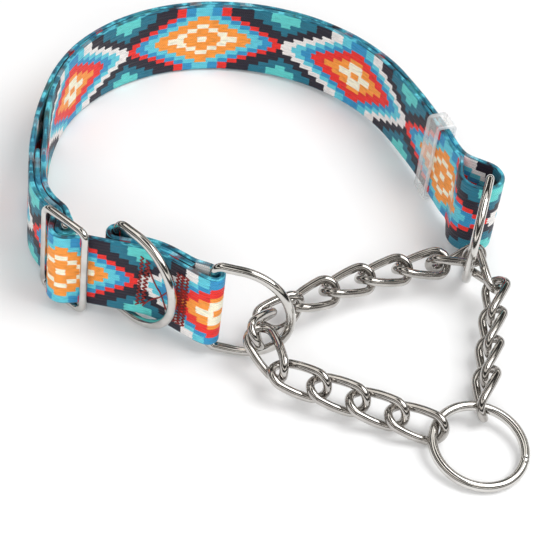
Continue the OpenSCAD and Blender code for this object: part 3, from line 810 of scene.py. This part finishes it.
# chain: a hook is (past a ring's round end, to its left, above the crossing), mm
chain = {
    "wire": 2.5, "inside": 13.5, "gap": 5.1, "twist": 85, "points": 96, "sides": 18,
    "cornerSlim": 0.96,  # the corner link is drawn a touch thinner
    "leftSlack": 2.3, "upperSlack": 1.55, "rightSlack": 2.9, "crossingHeight": 11.7,
    "leftRoll": 34, "upperRoll": -177, "rightRoll": 73,
    "leftRun": (0.75, -10.4, -3.7), "corner": (-8.05, -1.3, 0), "behind": (-7.45, 7.4, -3.6),
    "upperRun": (-0.05, 17.7, -4.9),
    "upperEnd": (-5.15, -8.6, -3), "crossing": (-7.95, -0.6, 0), "rightRun": (1.35, 8.7, -1.2),
    "leftLinkRoll": 133.5, "cornerRoll": -90.5, "behindRoll": -138, "beforeRoll": 144.5, "afterRoll": 108,
    "runLinks": 4,  # links of one roll in each run
}
leashRing = {
    "inner": 23, "wire": 2.8, "tilt": 8.3, "lean": 120, "clear": 0.35, "sides": 28, "steps": 128,
    # the butt weld stands up as a thin bead with a groove on each side: (mm along, size)
    "weld": 232, "weldReach": 1.2,
    "bead": ((-0.9, 1.0), (-0.6, 0.965), (-0.35, 1.02), (0.0, 1.035), (0.35, 1.02), (0.6, 0.965), (0.9, 1.0)),
}


ringHeight = strap["width"] / 2 + ringDrop
ringReach = strap["ringLeg"] + sqrt(ringHalf ** 2 - (chain["crossingHeight"] - ringHeight) ** 2)
pitches = {run: chain["inside"] - chain[run + "Slack"] for run in ("left", "upper", "right")}


def byRing(bar, heading, hook):
    a, b = rad(heading), rad(heading + 90)
    u, v, rise = ringReach + hook[0], hook[1], hook[2]
    return Vector((bar[0] + u * cos(a) + v * cos(b), bar[1] + u * sin(a) + v * sin(b),
                   chain["crossingHeight"] + rise))


hooks = {}
for ring, names in (((leftBar, strap["leftHeading"]), ("leftRun", "corner", "behind", "upperRun")),
                    ((rightBar, strap["rightHeading"]), ("upperEnd", "crossing", "rightRun"))):
    for name in names:
        hooks[name] = byRing(*ring, chain[name])


def leashPlace():
    # as far from both hooks as the two lower runs are long
    reach = chain["inside"] / 2 - leashRing["wire"] / 2 - leashRing["clear"]
    radius = (leashRing["inner"] + leashRing["wire"]) / 2
    pitchesToRing = chain["runLinks"] - 0.5
    left = pitchesToRing * pitches["left"] + reach + radius
    right = pitchesToRing * pitches["right"] + reach + radius
    a, b = hooks["leftRun"].xy, hooks["rightRun"].xy
    line = b - a
    u = line.normalized()
    along = (line.length ** 2 + left ** 2 - right ** 2) / (2 * line.length)
    aside = sqrt(left ** 2 - along ** 2)
    return a + along * u + aside * Vector((u.y, -u.x)), radius


leashCentre, leashRadius = leashPlace()
leashLift = leashRing["wire"] / 2 + leashRadius * sin(rad(leashRing["tilt"]))


def runEnd(hook, pitch):
    d = (leashCentre - hook.xy).normalized()
    q = hook.xy + d * chain["runLinks"] * pitch
    lean = Vector((cos(rad(leashRing["lean"])), sin(rad(leashRing["lean"]))))
    height = leashLift + tan(rad(leashRing["tilt"])) * (-leashRadius * d).dot(lean)
    return Vector((q.x, q.y, height))


leftEnd = runEnd(hooks["leftRun"], pitches["left"])
rightEnd = runEnd(hooks["rightRun"], pitches["right"])


def bowedRun(start, end, pitch):
    # a slack run lies in an arc whose chords have the run's pitch
    count = chain["runLinks"]
    line = end.xy - start.xy

    def tooLong(half):
        return sin(count * half) / sin(half) > line.length / pitch

    half = solveBetween(1e-6, pi / count, tooLong)
    step = line.length * sin(half) / sin(count * half)
    heading = atan2(line.y, line.x)
    points, at = [start.copy()], start.xy
    for i in range(count):
        turn = heading + (count - 1 - 2 * i) * half
        at = at + step * Vector((cos(turn), sin(turn)))
        points.append(Vector((at.x, at.y, start.z + (end.z - start.z) * (i + 1) / count)))
    return points


def straightRun(start, end):
    count = chain["runLinks"]
    return [start.lerp(end, i / count) for i in range(count + 1)]


# geometry node helpers
def newShapeTree(name, places, sizes):
    tree = bpy.data.node_groups.new(name, "GeometryNodeTree")
    kinds = [("Geometry", "NodeSocketGeometry")] + [(label, "NodeSocketVector") for label in places]
    for label, kind in kinds + [(label, "NodeSocketFloat") for label in sizes]:
        tree.interface.new_socket(label, in_out="INPUT", socket_type=kind)
    tree.interface.new_socket("Geometry", in_out="OUTPUT", socket_type="NodeSocketGeometry")
    return tree, tree.nodes.new("NodeGroupInput"), tree.nodes.new("NodeGroupOutput")


def tubeAlong(tree, curve, radius, sides, material, result):
    # a round tube along the curve, smooth, made real and dressed
    section = addNode(tree, "GeometryNodeCurvePrimitiveCircle", {"Resolution": sides, "Radius": radius})
    last = addNode(tree, "GeometryNodeCurveToMesh", {
        "Curve": curve, "Profile Curve": section.outputs[0], "Fill Caps": True})
    for kind in ("GeometryNodeSetShadeSmooth", "GeometryNodeRealizeInstances", "GeometryNodeSetMaterial"):
        last = addNode(tree, kind, {0: last.outputs[0]})
    last.inputs["Material"].default_value = material
    tree.links.new(last.outputs[0], result.inputs[0])


def bakePiece(name, source, tree, values, body, nodes):
    # run a tree on its source and keep what comes out as a plain mesh
    carrier = newObject(name + "Carrier", source)
    modifier = carrier.modifiers.new("shape", "NODES")
    modifier.node_group = tree
    for item in tree.interface.items_tree:
        if item.item_type == "SOCKET" and item.in_out == "INPUT" and item.name in values:
            modifier[item.identifier] = values[item.name]
    deps = bpy.context.evaluated_depsgraph_get()
    mesh = bpy.data.meshes.new_from_object(carrier.evaluated_get(deps))
    carrier.modifiers.clear()
    bpy.data.objects.remove(carrier)
    mesh.name = name
    return addPiece(name, mesh, body, nodes)


def makeLinkTree():
    # one twisted link: a closed path bent to a long oval, twisted end to end and laid from hook to hook
    sizes = ("Roll", "Half Straight", "Bend Radius", "Wire Radius", "Twist")
    tree, given, result = newShapeTree("twistedLink", ("Start", "End"), sizes)
    get = {s.name: s for s in given.outputs}
    num, vec = partial(calc, tree), partial(vectorCalc, tree)
    add, minus, times, over = sums(tree)

    def choose(test, yes, no):
        return addNode(tree, "GeometryNodeSwitch", {0: test, 1: no, 2: yes}, input_type="FLOAT").outputs[0]

    ring = addNode(tree, "GeometryNodeCurvePrimitiveCircle", {"Resolution": chain["points"]})
    index = tree.nodes.new("GeometryNodeInputIndex")
    straight, bendRadius = get["Half Straight"], get["Bend Radius"]
    arc = times(bendRadius, pi)
    leg = times(straight, 2.0)
    total = times(add(arc, leg), 2.0)
    way = times(total, over(index.outputs[0], float(chain["points"])))
    # first leg, first bend, second leg, second bend
    pastLeg = minus(way, leg)
    pastBend = minus(pastLeg, arc)
    pastBoth = minus(pastBend, leg)
    turnOne = add(pi / 2, over(pastLeg, bendRadius))
    turnTwo = minus(over(pastBoth, bendRadius), pi / 2)
    xLeg = minus(straight, way)
    xBend = minus(times(bendRadius, num("COSINE", turnOne)), straight)
    xBack = minus(pastBend, straight)
    xLast = add(times(bendRadius, num("COSINE", turnTwo)), straight)
    yBend = times(bendRadius, num("SINE", turnOne))
    yLast = times(bendRadius, num("SINE", turnTwo))
    onLeg = num("LESS_THAN", way, leg)
    onBend = num("LESS_THAN", way, add(leg, arc))
    onBack = num("LESS_THAN", way, add(add(leg, arc), leg))
    x = choose(onLeg, xLeg, choose(onBend, xBend, choose(onBack, xBack, xLast)))
    y = choose(onLeg, bendRadius, choose(onBend, yBend, choose(onBack, times(bendRadius, -1.0), yLast)))
    # twisted about its long axis, in step with the way along it
    turn = times(times(get["Twist"], 0.5), over(x, add(straight, bendRadius)))
    yTurned = times(y, num("COSINE", turn))
    zTurned = times(y, num("SINE", turn))
    axis = vec("NORMALIZE", vec("SUBTRACT", get["End"], get["Start"]))
    flat = vec("NORMALIZE", vec("CROSS_PRODUCT", (0, 0, 1), axis))
    up = vec("CROSS_PRODUCT", axis, flat)
    c, s = num("COSINE", get["Roll"]), num("SINE", get["Roll"])
    yAxis = vec("ADD", scaled(tree, flat, c), scaled(tree, up, s))
    zAxis = vec("SUBTRACT", scaled(tree, up, c), scaled(tree, flat, s))
    middle = scaled(tree, vec("ADD", get["Start"], get["End"]), 0.5)
    place = vec("ADD", vec("ADD", middle, scaled(tree, axis, x)),
                vec("ADD", scaled(tree, yAxis, yTurned), scaled(tree, zAxis, zTurned)))
    move = addNode(tree, "GeometryNodeSetPosition", {"Geometry": ring.outputs[0], "Position": place})
    tubeAlong(tree, move.outputs[0], get["Wire Radius"], chain["sides"], nickelLink, result)
    return tree


linkTree = makeLinkTree()


def makeLink(node, start, end, roll, slim=1.0):
    bendRadius = (chain["gap"] + chain["wire"]) / 2
    straight = (chain["inside"] + chain["wire"]) / 2 - bendRadius
    values = {
        "Start": tuple((start + benchShift) * mm), "End": tuple((end + benchShift) * mm), "Roll": rad(roll),
        "Half Straight": straight * mm, "Bend Radius": bendRadius * mm,
        "Wire Radius": chain["wire"] / 2 * slim * mm, "Twist": rad(chain["twist"]),
    }
    words = node.split("_")
    name = words[0] + "".join(w.capitalize() for w in words[1:])
    source = bpy.data.meshes.new(name + "Carrier")
    bakePiece(name, source, linkTree, values, node, [node])


def makeChain():
    h, c = hooks, chain
    makeLink("corner_link", h["corner"], h["behind"], c["cornerRoll"], c["cornerSlim"])
    makeLink("left_link_1", h["leftRun"], h["corner"], c["leftLinkRoll"])
    runs = (("left", straightRun(h["leftRun"], leftEnd), c["leftRoll"]),
            ("upper", bowedRun(h["upperRun"], h["upperEnd"], pitches["upper"]), c["upperRoll"]),
            ("right", straightRun(h["rightRun"], rightEnd), c["rightRoll"]))
    for run, points, roll in runs:
        for i in range(c["runLinks"]):
            makeLink(f"{run}_link_{i + 2}", points[i], points[i + 1], roll)
    makeLink("upper_link_1", h["behind"], h["upperRun"], c["behindRoll"])
    makeLink("upper_link_6", h["upperEnd"], h["crossing"], c["beforeRoll"])
    makeLink("right_link_1", h["crossing"], h["rightRun"], c["afterRoll"])


makeChain()
print("chain made")


def makeLeashRing():
    d = leashRing
    turn = Matrix.Rotation(rad(d["lean"]), 3, "Z") @ Matrix.Rotation(-rad(d["tilt"]), 3, "Y")
    centre = Vector((leashCentre.x, leashCentre.y, leashLift)) + benchShift
    degree = 180 / (pi * leashRadius)  # one millimetre of wire, in degrees
    plain = [360 * i / d["steps"] for i in range(d["steps"])]
    around = [(a, 1.0) for a in plain if abs((a - d["weld"] + 180) % 360 - 180) > d["weldReach"] * degree]
    around = sorted(around + [((d["weld"] + along * degree) % 360, size) for along, size in d["bead"]])
    path = [centre + turn @ (leashRadius * Vector((cos(rad(a)), sin(rad(a)), 0)))
            for a, size in around]
    wire = sweepWire(path, d["wire"], d["sides"], swell=[size for a, size in around])
    addWire("leashRing", wire, "leash_ring", "leash_ring")


makeLeashRing()


# clear keeper: a rounded band round both layers
keeper = {
    "length": 7, "wall": 1.2, "play": 0.6, "offset": 5,
    "innerCorner": 0.5, "cornerSteps": 6, "soft": 0.35, "softSteps": 3,
}


def makeKeeper():
    k = keeper
    radius = strap["shoulder"][0]
    centre = leftOf(shoulder[-1], -radius)
    depth = 2 * strap["thickness"] + strap["gap"] + 2 * k["play"]
    height = strap["width"] + 2 * k["play"]
    inside = radius + half + k["play"] - depth
    startAngle = rad(shoulder[-1][2] + 90) + k["offset"] / radius
    wall, length = k["wall"] / 2, k["length"] / 2
    # the wall's own section, and the loop that it follows
    section = roundedBox(wall, length, k["soft"], k["softSteps"])
    loop = roundedBox(depth / 2 + wall, height / 2 + wall, k["innerCorner"] + wall, k["cornerSteps"])
    verts, n, m = [], len(loop), len(section)
    for x, z, a in loop:
        for off, along, angle in section:
            out = inside + depth / 2 + x + off * cos(rad(a))
            turn = startAngle + (along + length) / radius
            up = height / 2 + z + off * sin(rad(a)) - k["play"]
            spot = standUp(centre[0] + out * cos(turn), centre[1] + out * sin(turn), up)
            verts.append(spot + benchShift)
    faces = [(i * m + j, i * m + (j + 1) % m, (i + 1) % n * m + (j + 1) % m, (i + 1) % n * m + j)
             for i in range(n) for j in range(m)]
    obj = addMesh("keeper", verts, faces, clearPlastic, "keeper", "clear_band", ["strap_keeper"])
    # only the two broad faces of the wall look clear, its cut edges are milky
    obj.data.materials.append(clearRim)
    broad = (m // 2 - 1, m - 1)
    for i, face in enumerate(obj.data.polygons):
        face.material_index = 0 if i % m in broad else 1


makeKeeper()
print("rings, adjuster and keeper made")


# sewing: zigzag bar tacks and a crossed line of thread, laid as tubes along their path
sewing = {
    "thread": 0.42, "sides": 8, "step": 0.35, "unevenness": 0.25, "wanderScale": 900.0,
    # zigzags: (past the tack, lowest, highest, stitches, half width, lean)
    "farFront": ((-0.7, 3.6, 22.0, 26, 0.55, 0.03), (0.9, 4.4, 21.0, 22, 0.7, 0.05)),
    "farBack": ((0.0, 3.6, 22.0, 26, 0.8, 0.0),),
    "nearFront": ((-1.5, 3.2, 21.8, 30, 0.6, 0.02), (0.0, 3.2, 21.8, 34, 0.75, 0.02),
                  (1.5, 3.2, 21.8, 30, 0.6, 0.02)),
    "nearBack": ((0.0, 3.4, 21.6, 30, 1.1, 0.0),),
    # crossed lines: start and run as (along, height), waves off the face, sway of the height and its waves
    "crossed": (((0.8, 19.8), (9.8, -16.4), 0.8, 0.5, 0.9), ((1.0, 3.8), (9.6, 11.2), 0.7, 0.6, 0.6)),
    "crossedSteps": 14, "crossedLift": 0.1,
}


def makeThreadTree():
    tree, given, result = newShapeTree("threadPath", (), ("Thread Radius", "Unevenness"))
    curve = addNode(tree, "GeometryNodeMeshToCurve", {0: given.outputs[0]})
    even = addNode(tree, "GeometryNodeResampleCurve", {0: curve.outputs[0], "Length": sewing["step"] * mm},
                   mode="LENGTH")
    wander = addNode(tree, "ShaderNodeTexNoise", {"Scale": sewing["wanderScale"]})
    centred = vectorCalc(tree, "SUBTRACT", wander.outputs["Color"], (0.5, 0.5, 0.5))
    offset = scaled(tree, centred, given.outputs["Unevenness"])
    shake = addNode(tree, "GeometryNodeSetPosition", {"Geometry": even.outputs[0], "Offset": offset})
    tubeAlong(tree, shake.outputs[0], given.outputs["Thread Radius"], sewing["sides"], redThread, result)
    return tree


threadTree = makeThreadTree()


def zigzag(tack, lateral, along, low, high, count, halfWide, lean):
    # (distance along the strap, off its middle, height) of a tight zigzag sewn across the webbing
    heights = [low + (high - low) * i / count for i in range(count + 1)]
    return [(tack + along + lean * (v - low) + (halfWide if i % 2 else -halfWide), lateral, v)
            for i, v in enumerate(heights)]


def crossedLine(tack, lateral, start, run, waves, sway, swayWaves):
    n = sewing["crossedSteps"]
    return [(tack + start[0] + run[0] * i / n, lateral - sewing["crossedLift"] * sin(i * waves),
             start[1] + run[1] * i / n + sway * sin(i * swayWaves)) for i in range(n + 1)]


def layThreads(name, lines, nodes):
    verts, edges = [], []
    for line in lines:
        start = len(verts)
        for t, lateral, v in line:
            verts.append(tuple((standUp(*leftOf(frontAt(t), lateral), v) + benchShift) * mm))
        edges += [(start + i, start + i + 1) for i in range(len(line) - 1)]
    source = newMesh(name + "Source", verts, (), edges=edges)
    values = {"Thread Radius": sewing["thread"] / 2 * mm, "Unevenness": sewing["unevenness"] * mm}
    bakePiece(name, source, threadTree, values, "webbing", nodes)


def makeSewing():
    outside = half + sewing["thread"] / 2
    behind = 2 * layer + outside
    far = [zigzag(farTackAt, -outside, *z) for z in sewing["farFront"]]
    far += [zigzag(farTackAt, behind, *z) for z in sewing["farBack"]]
    far += [crossedLine(farTackAt, -outside, *line) for line in sewing["crossed"]]
    near = [zigzag(nearTackAt, -outside, *z) for z in sewing["nearFront"]]
    near += [zigzag(nearTackAt, behind, *z) for z in sewing["nearBack"]]
    layThreads("farTack", far, ["far_bar_tack"])
    layThreads("nearTack", near, ["near_bar_tack"])


makeSewing()
print("sewing made")


# floor, world and lamps, m
studio = {
    "floor": 4.0, "floorDrop": 0.0001, "paper": (0.90, 0.92), "paperScale": 30.0,
    "paperRough": 0.85, "paperSpecular": 0.15, "world": 0.60, "backdrop": 0.97,
    # what the metal mirrors, (place, level): soft lights with dark gaps between
    "byHeight": ((0.0, 0.22), (0.07, 0.03), (0.26, 0.04), (0.30, 1.35), (0.43, 1.4), (0.47, 0.05),
                 (0.73, 0.04), (0.79, 1.45), (0.89, 1.5), (0.93, 0.08), (1.0, 0.05)),
    "sideways": ((0.0, 0.35), (0.2, 1.0), (0.41, 1.0), (0.45, 0.4), (0.53, 0.4), (0.57, 1.0),
                 (0.8, 1.0), (1.0, 0.4)),
    "warmth": (1, 0.985, 0.96), "lampAim": (0, 0, 0.01),
    "keyLamp": {"place": (0.42, 0.02, 0.72), "size": (0.5, 0.6), "power": 4.2},
    "frontLamp": {"place": (-0.10, -0.80, 0.55), "size": (0.7, 0.3), "power": 3.4},
}


def makeFloor():
    material, tree, shader = newMaterial("paperFloor")
    grain = noise(tree, objectPlace(tree), studio["paperScale"], 2.0)
    tones = [(level, level, level) for level in studio["paper"]]
    fill(tree, shader, {
        "Base Color": clouded(tree, grain, tones), "Roughness": studio["paperRough"],
        "Specular IOR Level": studio["paperSpecular"]})
    edge, z = studio["floor"] / 2, cadBox[0][2] - studio["floorDrop"]
    corners = [(-edge, -edge, z), (edge, -edge, z), (edge, edge, z), (-edge, edge, z)]
    newObject("floor", newMesh("floor", corners, [(0, 1, 2, 3)], material))


def warmStops(stops):
    return [(place, tuple(level * share for share in studio["warmth"])) for place, level in stops]


def makeWorld():
    world = bpy.data.worlds.new("studioWorld")
    bpy.context.scene.world = world
    tree, shade = shaderTree(world, "ShaderNodeOutputWorld", "ShaderNodeBackground")
    coords = tree.nodes.new("ShaderNodeTexCoord")
    parts = addNode(tree, "ShaderNodeSeparateXYZ", {0: coords.outputs["Generated"]})
    height = bands(tree, parts.outputs[2], warmStops(studio["byHeight"]), "LINEAR")
    side = sloped(tree, parts.outputs[0], 0.5, 0.5)
    sideways = bands(tree, side, warmStops(studio["sideways"]), "LINEAR")
    mirrored = mixColor(tree, 1.0, height, sideways, "MULTIPLY")
    rays = tree.nodes.new("ShaderNodeLightPath")
    plain, seen = [(studio[k], studio[k], studio[k], 1.0) for k in ("world", "backdrop")]
    color = mixColor(tree, rays.outputs["Is Camera Ray"], plain, seen)
    color = mixColor(tree, rays.outputs["Is Glossy Ray"], color, mirrored)
    tree.links.new(color, shade.inputs[0])


def addLamp(name):
    d = studio[name]
    data = bpy.data.lights.new(name, "AREA")
    data.shape = "RECTANGLE"
    data.size, data.size_y = d["size"]
    data.energy = d["power"]
    obj = newObject(name, data)
    obj.location = d["place"]
    aim = Vector(studio["lampAim"]) - Vector(d["place"])
    obj.rotation_euler = aim.to_track_quat("-Z", "Y").to_euler()
    return obj


makeFloor()
makeWorld()
addLamp("keyLamp")
frontLamp = addLamp("frontLamp")
# the metal mirrors the world's own lights in front, not this lamp
frontLamp.visible_glossy = False
bpy.context.scene.view_settings.view_transform = "Standard"
print("studio made")
